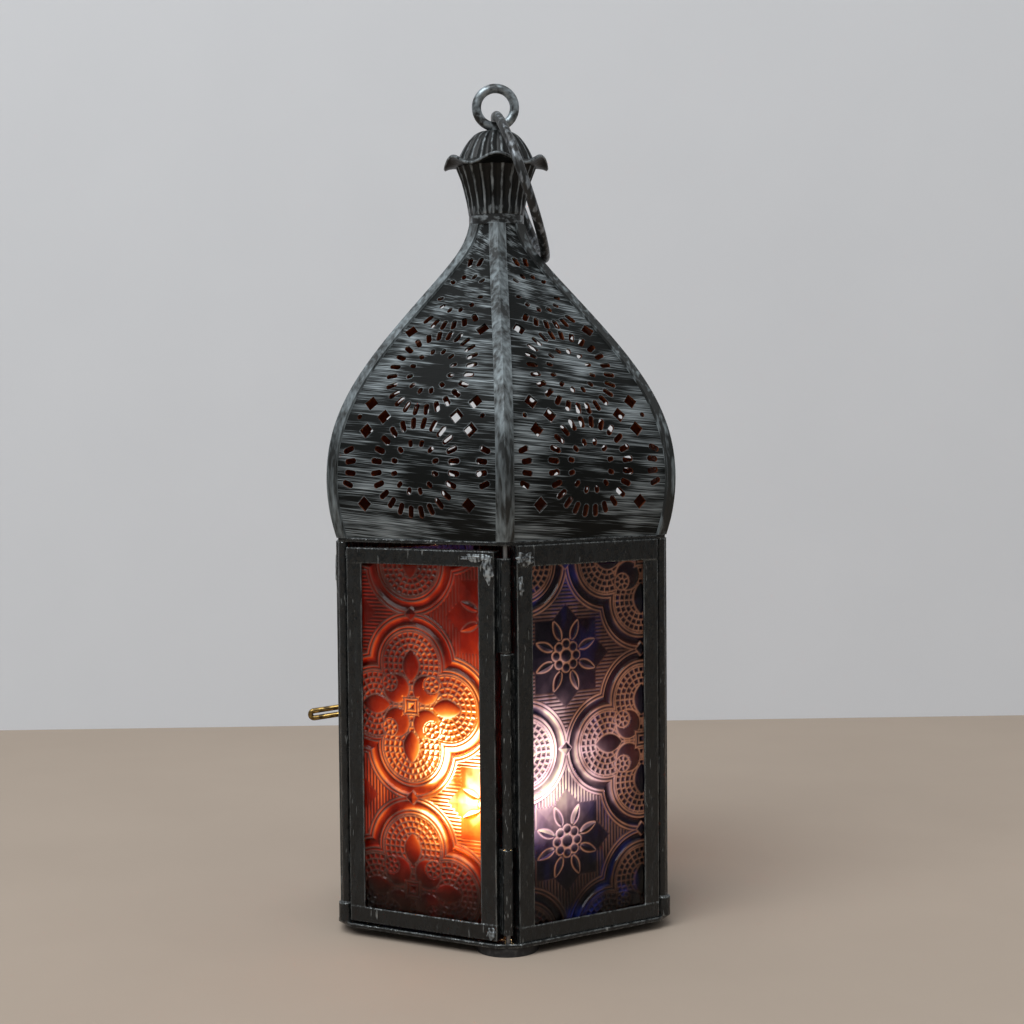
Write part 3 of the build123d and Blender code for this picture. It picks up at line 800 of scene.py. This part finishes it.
def pressed_glass(name, deep, clear, ridge_glow_colour, line_glow, near_glow, far_glow, glow, painted_daylight):
    """Tinted glass that lets light through, with a hard shine on it; the candle's glow in it and along
    its ridges, and stray daylight, are painted in as emission.
    """
    finish, shader = new_finish(name)
    place = place_on(finish)
    ridge = kept(finish, "ridge")
    lit = kept(finish, "lit")
    streak = grain(finish, place, GLASS_STREAK, 3.0)
    uneven = share_of(finish, streak, 0.35, 0.65)
    tint = mixed(finish, uneven, deep, clear)
    seed = grain(finish, place, GLASS_SEED, 2.0)
    cloudy = between(finish, uneven, 0.55, 1.45)
    slope_light = sum_of(finish, "MULTIPLY", kept(finish, "painted_slope_light"), cloudy)
    light = sum_of(finish, "MULTIPLY", lit, slope_light)
    even_light = sum_of(finish, "MULTIPLY", sum_of(finish, "POWER", lit, 0.85), cloudy)
    line_light = sum_of(finish, "MULTIPLY", even_light, LINE_SHARE)
    body_strength = sum_of(finish, "MULTIPLY", sum_of(finish, "POWER", light, 1.25), glow)
    line_strength = sum_of(finish, "MULTIPLY", line_light, line_glow)
    nearness = share_of(finish, light, 0.15, 1.0)
    glow_colour = mixed(finish, nearness, far_glow, near_glow)
    glow_colour = mixed(finish, share_of(finish, light, 0.9, 2.2), glow_colour, FLAME_WHITE)
    body_glow = brightened(finish, glow_colour, body_strength)
    ridge_glow_tone = mixed(finish, share_of(finish, line_light, 0.30, 0.75), ridge_glow_colour, near_glow)
    line_shine = brightened(finish, ridge_glow_tone, line_strength)
    # Painted daylight: patches of light that seem to stray in through the glass.
    stray = share_of(finish, grain(finish, place, STRAY_PATCH, 2.0, (4.0, 9.0, 2.0)), 0.58, 0.74)
    stray_light = brightened(finish, painted_daylight[:3], sum_of(finish, "MULTIPLY", stray, slope_light))
    # Painted light: the glass itself emits the candle's glow in its body and on its ridges.
    candle_light = mixed(finish, ridge, body_glow, line_shine)
    lights = {0: candle_light, 1: stray_light}
    all_light = add_node(finish, "VectorMath", lights, operation="ADD").outputs[0]
    feed(
        finish,
        shader,
        {
            "Base Color": tint,
            "Transmission Weight": 1.0,
            "Roughness": between(finish, streak, 0.32, 0.38),
            "IOR": 1.45,
            "Specular Tint": (0.15, 0.15, 0.15, 1),
            "Coat Weight": 0.22,
            "Coat Roughness": 0.05,
            "Emission Color": all_light,
            "Emission Strength": 1.0,
            "Normal": bumped(finish, seed, 0.25, 0.0004),
        },
    )
    return finish


def pane_back(name, deep, clear):
    """The smooth back of a pane, which only tints the light."""
    finish, shader = new_finish(name)
    streak = grain(finish, place_on(finish), GLASS_STREAK, 3.0)
    tint = mixed(finish, streak, deep, clear)
    paler = add_node(finish, "Gamma", {0: tint, 1: 0.5})
    through = add_node(finish, "BsdfTransparent", {"Color": paler.outputs[0]})
    shine = add_node(finish, "BsdfGlossy", {"Color": (1, 1, 1, 1), "Roughness": 0.1})
    both = add_node(finish, "MixShader", {0: 0.05, 1: through.outputs[0], 2: shine.outputs[0]})
    surface = finish.node_tree.nodes["Material Output"]
    finish.node_tree.nodes.remove(shader)
    feed(finish, surface, {"Surface": both.outputs[0]})
    return finish


# each tone: its deep and its clear tint, the colour and strength of the painted glow on its ridges, its
# own painted glow by candlelight near the flame and far from it, how strong that is, and the painted
# daylight that strays through it
TONES = {
    "amber": {
        "deep": (0.16, 0.016, 0.001, 1),
        "clear": (0.40, 0.07, 0.004, 1),
        "ridge_glow_colour": (0.50, 0.27, 0.20, 1),
        "line_glow": 1.0,
        "near_glow": (1.0, 0.30, 0.035, 1),
        "far_glow": (0.90, 0.028, 0.006, 1),
        "glow": 1.9,
        "painted_daylight": (0.10, 0.004, 0.002, 1),
    },
    "cobalt": {
        "deep": (0.008, 0.006, 0.030, 1),
        "clear": (0.03, 0.024, 0.08, 1),
        "ridge_glow_colour": (0.64, 0.27, 0.15, 1),
        "line_glow": 1.75,
        "near_glow": (0.80, 0.47, 0.50, 1),
        "far_glow": (0.035, 0.022, 0.09, 1),
        "glow": 0.5,
        "painted_daylight": (0.002, 0.008, 0.075, 1),
    },
    "ruby": {
        "deep": (0.10, 0.002, 0.002, 1),
        "clear": (0.26, 0.010, 0.007, 1),
        "ridge_glow_colour": (0.50, 0.28, 0.25, 1),
        "line_glow": 0.35,
        "near_glow": (0.80, 0.03, 0.015, 1),
        "far_glow": (0.40, 0.008, 0.008, 1),
        "glow": 0.4,
        "painted_daylight": (0.08, 0.002, 0.002, 1),
    },
}
glass_kinds = {}
for tone, looks in TONES.items():
    front_finish = pressed_glass(f"{tone}_pressed_glass", **looks)
    back_finish = pane_back(f"{tone}_pane_back", looks["deep"], looks["clear"])
    glass_kinds[tone] = (front_finish, back_finish)

# lower edge of a pane and of what shows of it, in mm, by the body that holds it
LOW_EDGES = {"door": (4.65, 8.4), "lantern": (3.95, 7.7)}
# each pane: its body, CAD piece, side and tone, then the middle of one medallion, sideways
# and up, and how far to the side the painted candle glow is centred, where the flame shows behind it, in
# mm
panes = (
    ("door", "door_glass", 5, "amber", -3.0, 62.4, 13.0),
    ("lantern", "panel_glass_1", 0, "cobalt", 17.0, 51.7, -13.0),
    ("lantern", "panel_glass_2", 1, "ruby", 5.0, 40.0, 0.0),
    ("lantern", "panel_glass_3", 2, "amber", -12.0, 70.0, 0.0),
    ("lantern", "panel_glass_4", 3, "cobalt", 8.0, 47.0, 0.0),
    ("lantern", "panel_glass_5", 4, "ruby", -9.0, 58.0, 0.0),
)
for body, node, side, tone, medallion_side, medallion_height, glow_side in panes:
    low, sight_low = LOW_EDGES[body]
    pane = pressed_pane(
        f"{node}_pressed", side, low, sight_low, medallion_side, medallion_height, glow_side
    )
    for finish in glass_kinds[tone]:
        pane.data.materials.append(finish)
    back_face = max(pane.data.polygons, key=lambda face: len(face.vertices))
    back_face.material_index = 1
    settle(pane, body, f"{tone}_glass", node)

# Hinge barrels and the latch's keeper: strips of sheet, the barrels curled round one steel pin
# at the front corner. Black paint, rubbed bright along the knuckles where the door turns.
hinge_black = blackened("hinge_black", (0.5, 0.5, 3.0), 0.63)
paint_nodes(hinge_black, "door_knuckle_low", "door_knuckle_high", "fixed_knuckle", "latch_keeper")

# Latch: a hairpin of brass wire that slides through the left panel's stile.
# Polished by the thumb, with dark tarnish left in patches.
latch_brass, latch_shader = new_finish("latch_brass")
latch_patch = grain(latch_brass, place_on(latch_brass), (1.6, 1.6, 0.8), 4.0)
latch_tarnish = share_of(latch_brass, latch_patch, 0.30, 0.60)
feed(
    latch_brass,
    latch_shader,
    {
        "Base Color": mixed(latch_brass, latch_tarnish, (0.46, 0.30, 0.09, 1), (0.06, 0.04, 0.018, 1)),
        "Metallic": 1.0,
        "Roughness": between(latch_brass, latch_tarnish, 0.16, 0.42),
    },
)
paint_nodes(latch_brass, "latch_bolt")

# Dome gores: six pierced sheets, black, dry-brushed with silver by strokes that run across them
# and catch on the rims of the holes, with painted glints on those rims. Their insides are painted a warm
# reddish brown for the candle's light on them.
DOME_R = 0.040
STROKE_LEAN = 0.10


def round_the_dome(finish, place):
    """The point as metres round the dome from its front rib, and its height with the strokes' lean."""
    apart = add_node(finish, "SeparateXYZ", {0: place})
    backwards = sum_of(finish, "MULTIPLY", apart.outputs[1], -1.0)
    turn = sum_of(finish, "ARCTAN2", apart.outputs[0], backwards)
    arc = sum_of(finish, "MULTIPLY", turn, DOME_R)
    lean = sum_of(finish, "MULTIPLY", arc, STROKE_LEAN)
    height = sum_of(finish, "ADD", apart.outputs[2], lean)
    return add_node(finish, "CombineXYZ", {0: arc, 1: height}).outputs[0]


def facing_out(finish, place):
    """1 where a face looks away from the lantern's axis, 0 across it and -1 towards it."""
    level = add_node(finish, "VectorMath", {0: place, 1: (1, 1, 0)}, operation="MULTIPLY").outputs[0]
    outwards = add_node(finish, "VectorMath", {0: level}, operation="NORMALIZE").outputs[0]
    facing = add_node(finish, "TexCoord", {}).outputs["Normal"]
    inputs = {0: outwards, 1: facing}
    return add_node(finish, "VectorMath", inputs, operation="DOT_PRODUCT").outputs["Value"]


gore_silver, gore_shader = new_finish("dry_brushed_gore")
gore_place = place_on(gore_silver)
gore_flat = round_the_dome(gore_silver, gore_place)
bristle = grain(gore_silver, gore_flat, (10.0, 0.30, 1.0), 4.0)
stroke = grain(gore_silver, gore_flat, (22.0, 1.8, 1.0), 3.0, (3.0, 1.0, 0.0))
patch = grain(gore_silver, gore_flat, (17.0, 10.0, 1.0), 2.0, (9.4, 2.0, 0.0))
brushed = sum_of(gore_silver, "MULTIPLY", bristle, 0.5)
brushed = sum_of(gore_silver, "ADD", brushed, sum_of(gore_silver, "MULTIPLY", stroke, 0.5))
brushed = sum_of(gore_silver, "ADD", brushed, sum_of(gore_silver, "MULTIPLY", patch, 0.6))
silver = share_of(gore_silver, brushed, 0.79, 0.98)
# The silver on the hole rims is partly dry-brush silver caught on their raised edges and partly painted
# glints.
hole_rim = edge_of(gore_silver, rounded_off(gore_silver, 0.0005), 0.90)
rim_silver_and_glint = sum_of(gore_silver, "MULTIPLY", hole_rim, share_of(gore_silver, stroke, 0.36, 0.56))
silver = sum_of(gore_silver, "MAXIMUM", silver, rim_silver_and_glint)
pale = share_of(gore_silver, bristle, 0.35, 0.7)
silver_paint = mixed(gore_silver, pale, (0.09, 0.104, 0.11, 1), (0.34, 0.385, 0.405, 1))
gore_outside = mixed(gore_silver, silver, (0.004, 0.005, 0.0048, 1), silver_paint)
# Inside the dome the colour is a painted warm reddish brown, standing in for the candle's light on the
# insides.
inside_cloud = grain(gore_silver, gore_place, (2.5, 2.5, 2.5), 4.0)
painted_candle_brown = mixed(gore_silver, inside_cloud, (0.040, 0.010, 0.004, 1), (0.150, 0.040, 0.014, 1))
outer_side = share_of(gore_silver, facing_out(gore_silver, gore_place), 0.15, 0.35)
silver_outside = sum_of(gore_silver, "MULTIPLY", silver, outer_side)
feed(
    gore_silver,
    gore_shader,
    {
        "Base Color": mixed(gore_silver, outer_side, painted_candle_brown, gore_outside),
        "Metallic": between(gore_silver, silver_outside, 0.0, 0.35),
        "Roughness": between(gore_silver, silver, 0.5, 0.55),
        "Specular IOR Level": 0.12,
        "Normal": bumped(gore_silver, brushed, 0.35, 0.0003),
    },
)
paint_nodes(gore_silver, *[f"dome_gore_{n}" for n in range(1, 7)])


# Dome ribs: folded strips soldered over the seams between the gores.
# They stand proud, so the brush left them dull silver, streaked with black; one stayed darker.
def rubbed_rib(name, start, end):
    """Black paint rubbed silver along a rib, from a start to an end of its noise."""
    finish, shader = new_finish(name)
    place = place_on(finish)
    streak = grain(finish, place, (1.1, 1.1, 7.0), 5.0)
    blotch = grain(finish, place, (5.0, 5.0, 13.0), 3.0)
    total = sum_of(finish, "ADD", streak, sum_of(finish, "MULTIPLY", blotch, 0.8))
    edge = edge_of(finish, rounded_off(finish, 0.0005), 0.86)
    total = sum_of(finish, "ADD", total, sum_of(finish, "MULTIPLY", edge, 0.1))
    share = share_of(finish, total, start, end)
    feed(
        finish,
        shader,
        {
            "Base Color": mixed(finish, share, (0.008, 0.010, 0.010, 1), (0.20, 0.235, 0.25, 1)),
            "Metallic": between(finish, share, 0.1, 0.4),
            "Roughness": between(finish, streak, 0.34, 0.52),
            "Normal": bumped(finish, streak, 0.4, 0.0004),
        },
    )
    return finish


rib_silver = rubbed_rib("rubbed_rib", 0.76, 1.16)
rib_dark = rubbed_rib("dark_rib", 0.95, 1.20)
paint_nodes(rib_silver, *[f"dome_rib_{n}" for n in range(2, 7)])
paint_nodes(rib_dark, "dome_rib_1")

# Finial cup, rim and cap: thin spun metal pressed into flutes, the rim ruffled by hand.
# Black in the grooves and rubbed to silver along the crests.
FLUTES = 22
FLUTE_POINTS = 10
CUP_LOW = 192.6
CUP_TOP = 205.9
CUP_FLUTE_DEPTH = 0.75
HUB_TOP = 207.9
CAP_LOW = 206.4
CAP_TOP = 216.0
CAP_NECK_R = 3.2
CAP_SWELL = 7.9
CAP_HOLE_R = 1.65
CAP_FLUTE_DEPTH = 0.62
CAP_SHOULDER = 0.8
RIM_WAVES = 6
RIM_WAVE_HEIGHT = 1.2


def flute_crest(turn):
    """1 on the crest of a flute and 0 in its groove."""
    return (0.5 + 0.5 * np.cos(FLUTES * turn)) ** 1.3


def cup_point(turn, share):
    """The cup: up its fluted outside, over its lip and down its smooth inside."""
    profile = (
        (7.1, CUP_LOW),
        (7.65, CUP_LOW + 0.1),
        (7.75, CUP_LOW + 1.0),
        (8.35, CUP_LOW + 4.5),
        (9.6, CUP_LOW + 9.5),
        (11.1, CUP_TOP),
        (9.6, CUP_TOP),
        (8.4, CUP_LOW + 9.5),
        (7.4, CUP_LOW + 4.5),
        (7.1, CUP_LOW + 1.0),
        (7.1, CUP_LOW),
    )
    radius, height = along_line(share, profile)
    rise = np.clip((height - CUP_LOW - 0.8) / 4.0, 0, 1)
    outer = share < 0.49
    radius = radius - np.where(outer, CUP_FLUTE_DEPTH * rise * (1 - flute_crest(turn)), 0)
    return radius * np.cos(turn), radius * np.sin(turn), height


def cap_point(turn, share):
    """The cap: a fluted dome that narrows to the hole for the eye's shank."""
    rise = np.clip(share / CAP_SHOULDER, 0, 1)
    swell = np.sqrt(np.clip(1 - rise**1.15, 0, 1))
    radius = CAP_NECK_R + CAP_SWELL * swell
    height = CAP_LOW + (CAP_TOP - CAP_LOW - 0.05) * rise
    top = np.clip((share - CAP_SHOULDER) / 0.2, 0, 1)
    radius = radius * (1 - top) + CAP_HOLE_R * top
    depth = CAP_FLUTE_DEPTH * np.clip(radius / 9, 0, 1) * (1 - top)
    radius = radius - depth * (1 - flute_crest(turn))
    return radius * np.cos(turn), radius * np.sin(turn), height


def rim_point(turn, share):
    """The rim: out under its brim, round the rolled edge and back over the hub."""
    profile = (
        (8.7, CUP_TOP + 0.02),
        (10.3, CUP_TOP + 0.02),
        (11.6, CUP_TOP + 0.25),
        (13.2, CUP_TOP + 0.5),
        (14.05, CUP_TOP + 0.45),
        (14.45, CUP_TOP + 0.85),
        (14.4, CUP_TOP + 1.3),
        (14.0, CUP_TOP + 1.55),
        (13.4, CUP_TOP + 1.4),
        (12.0, CUP_TOP + 1.15),
        (11.0, CUP_TOP + 1.4),
        (9.8, HUB_TOP - 0.05),
        (8.7, HUB_TOP - 0.05),
        (8.7, CUP_TOP + 0.02),
    )
    radius, height = along_line(share, profile)
    wave = np.cos(RIM_WAVES * (turn + math.pi / 2))
    height = height + RIM_WAVE_HEIGHT * wave * np.clip((radius - 10.6) / 3.4, 0, 1) ** 1.2
    return radius * np.cos(turn), radius * np.sin(turn), height


fluted_silver, fluted_shader = new_finish("rubbed_flutes")
fluted_scuff = grain(fluted_silver, place_on(fluted_silver), (1.0, 1.0, 3.5), 5.0)
fluted_wear = sum_of(fluted_silver, "MULTIPLY", fluted_scuff, 0.9)
fluted_wear = sum_of(fluted_silver, "ADD", kept(fluted_silver, "crest"), fluted_wear)
fluted_share = share_of(fluted_silver, fluted_wear, 1.10, 1.5)
feed(
    fluted_silver,
    fluted_shader,
    {
        "Base Color": mixed(fluted_silver, fluted_share, (0.004, 0.005, 0.005, 1), (0.34, 0.38, 0.40, 1)),
        "Metallic": between(fluted_silver, fluted_share, 0.0, 0.6),
        "Roughness": between(fluted_silver, fluted_scuff, 0.28, 0.5),
        "Specular IOR Level": 0.25,
        "Normal": bumped(fluted_silver, fluted_scuff, 0.3, 0.0003),
    },
)


def cup_crests(right, back, up):
    """The cup is rubbed along its flutes and round its foot."""
    foot = np.clip((CUP_LOW + 4.0 - up) / 3.0, 0, 0.62)
    return np.maximum(flute_crest(np.arctan2(back, right)) * 0.85, foot)


def cap_crests(right, back, up):
    """The cap is rubbed along its flutes."""
    return flute_crest(np.arctan2(back, right)) * 0.8


def rim_crests(right, back, up):
    """The rim is rubbed along its outer edge."""
    return np.clip((np.hypot(right, back) - 13.7) / 0.6, 0, 1) * 0.8


def finial_piece(name, around, along, place, crests, replaced):
    """One spun piece of the finial, with how much the brush rubs each of its points."""
    piece = rolled_grid(name, around, along, place)
    right, back, up = points_of(piece).T * 1000
    keep_on_points(piece, "crest", crests(right, back, up))
    piece.data.materials.append(fluted_silver)
    settle(piece, "lantern", "finial_metal", replaced)


finial_piece("finial_fluted_cup", FLUTES * FLUTE_POINTS, 64, cup_point, cup_crests, "finial_cup")
finial_piece("finial_fluted_cap", FLUTES * FLUTE_POINTS, 48, cap_point, cap_crests, "finial_cap")
finial_piece("finial_ruffled_rim", 240, 72, rim_point, rim_crests, "finial_rim")


# Neck collar, eye and carrying ring: a strip round the dome's neck and bent steel wire.
# Rubbed silver with black left in patches; the ring is the darkest, with long flecks.
def rubbed_wire(name, fleck_size, start, end, pale):
    """Black-painted wire rubbed silver in flecks."""
    finish, shader = new_finish(name)
    fleck = grain(finish, place_on(finish), fleck_size, 5.0)
    share = share_of(finish, fleck, start, end)
    feed(
        finish,
        shader,
        {
            "Base Color": mixed(finish, share, (0.012, 0.013, 0.013, 1), pale),
            "Metallic": between(finish, share, 0.2, 0.85),
            "Roughness": between(finish, fleck, 0.25, 0.5),
            "Normal": bumped(finish, fleck, 0.4, 0.0004),
        },
    )
    return finish


eye_silver = rubbed_wire("rubbed_eye", (2.2, 2.2, 2.2), 0.38, 0.62, (0.32, 0.365, 0.39, 1))
ring_silver = rubbed_wire("rubbed_ring", (1.2, 1.2, 3.2), 0.50, 0.72, (0.32, 0.35, 0.38, 1))
collar_silver = rubbed_wire("rubbed_collar", (2.4, 2.4, 1.4), 0.48, 0.70, (0.34, 0.38, 0.40, 1))
paint_nodes(eye_silver, "finial_eye")
paint_nodes(ring_silver, "carry_ring")
paint_nodes(collar_silver, "neck_collar")


# Studio: a plain warm pale table top and a plain pale wall behind it, each clear from behind.
# Soft daylight comes from above on the front left, as from a window.
def stage_sheet(name, size, place, tilt, first, second):
    """A plain sheet of the studio, seen from its front only."""
    bpy.ops.object.select_all(action="DESELECT")
    bpy.ops.mesh.primitive_grid_add(x_subdivisions=4, y_subdivisions=4, size=1)
    sheet = bpy.context.object
    sheet.name = name
    turned = Matrix.Translation(Vector(place)) @ Matrix.Rotation(tilt, 4, "X")
    sheet.data.transform(turned @ Matrix.Diagonal((size[0], size[1], 1, 1)))
    finish, shader = new_finish(name)
    cloud = grain(finish, place_on(finish), (60.0, 60.0, 60.0), 3.0)
    feed(finish, shader, {"Base Color": mixed(finish, cloud, first, second), "Roughness": 0.85})
    behind = add_node(finish, "NewGeometry", {}).outputs["Backfacing"]
    clear = add_node(finish, "BsdfTransparent", {})
    either = add_node(finish, "MixShader", {0: behind, 1: shader.outputs[0], 2: clear.outputs[0]})
    feed(finish, finish.node_tree.nodes["Material Output"], {"Surface": either.outputs[0]})
    sheet.data.materials.append(finish)


TABLE_SIZE = (8, 8)
TABLE_TONES = ((0.37, 0.30, 0.24, 1), (0.41, 0.335, 0.27, 1))
WALL_SIZE = (6, 4)
WALL_PLACE = (0, 0.30, 2)
WALL_TONES = ((0.66, 0.68, 0.71, 1), (0.70, 0.72, 0.75, 1))
ROOM_COLOUR = (0.95, 0.97, 1.0, 1)
ROOM_LIGHT = 0.22
stage_sheet("table", TABLE_SIZE, (0, 0, 0), 0, *TABLE_TONES)
stage_sheet("wall", WALL_SIZE, WALL_PLACE, math.pi / 2, *WALL_TONES)

world = bpy.data.worlds.new("room")
world.use_nodes = True
room = world.node_tree.nodes["Background"]
room.inputs["Color"].default_value = ROOM_COLOUR
room.inputs["Strength"].default_value = ROOM_LIGHT
bpy.context.scene.world = world


def soft_light(name, place, aim, size, power, colour):
    """A large soft light that points at a place."""
    lamp = bpy.data.lights.new(name, "AREA")
    lamp.energy = power
    lamp.size = size
    lamp.color = colour
    piece = bpy.data.objects.new(name, lamp)
    piece.location = place
    piece.rotation_euler = (Vector(aim) - Vector(place)).to_track_quat("-Z", "Y").to_euler()
    bpy.context.scene.collection.objects.link(piece)


WINDOW_POWER = 34
FILL_POWER = 3
soft_light("window", (-0.6, -0.92, 1.6), (0, 0, 0.11), 1.5, WINDOW_POWER, (0.95, 0.98, 1.0))
soft_light("room_fill", (0.9, -0.6, 1.2), (0, 0, 0.12), 1.2, FILL_POWER, (1.0, 0.98, 0.95))

# Camera: a little left of the hinge corner, at the height of the dome's middle, looking slightly
# down with a medium-long lens.
CAMERA_PLACE = (-0.0144, -0.4789, 0.1337)
CAMERA_YAW = 2.156
CAMERA_PITCH = 2.74
CAMERA_ROLL = 0.48
CAMERA_LENS = 60.4
CAMERA_SENSOR = 36
camera = bpy.data.cameras.new("camera")
camera.lens = CAMERA_LENS
camera.sensor_width = CAMERA_SENSOR
viewer = bpy.data.objects.new("camera", camera)
yaw = Matrix.Rotation(math.radians(-CAMERA_YAW), 4, "Z")
pitch = Matrix.Rotation(math.radians(90 - CAMERA_PITCH), 4, "X")
roll = Matrix.Rotation(math.radians(-CAMERA_ROLL), 4, "Z")
viewer.matrix_world = Matrix.Translation(Vector(CAMERA_PLACE)) @ yaw @ pitch @ roll
bpy.context.scene.collection.objects.link(viewer)
bpy.context.scene.camera = viewer
bpy.context.scene.view_settings.view_transform = "Standard"
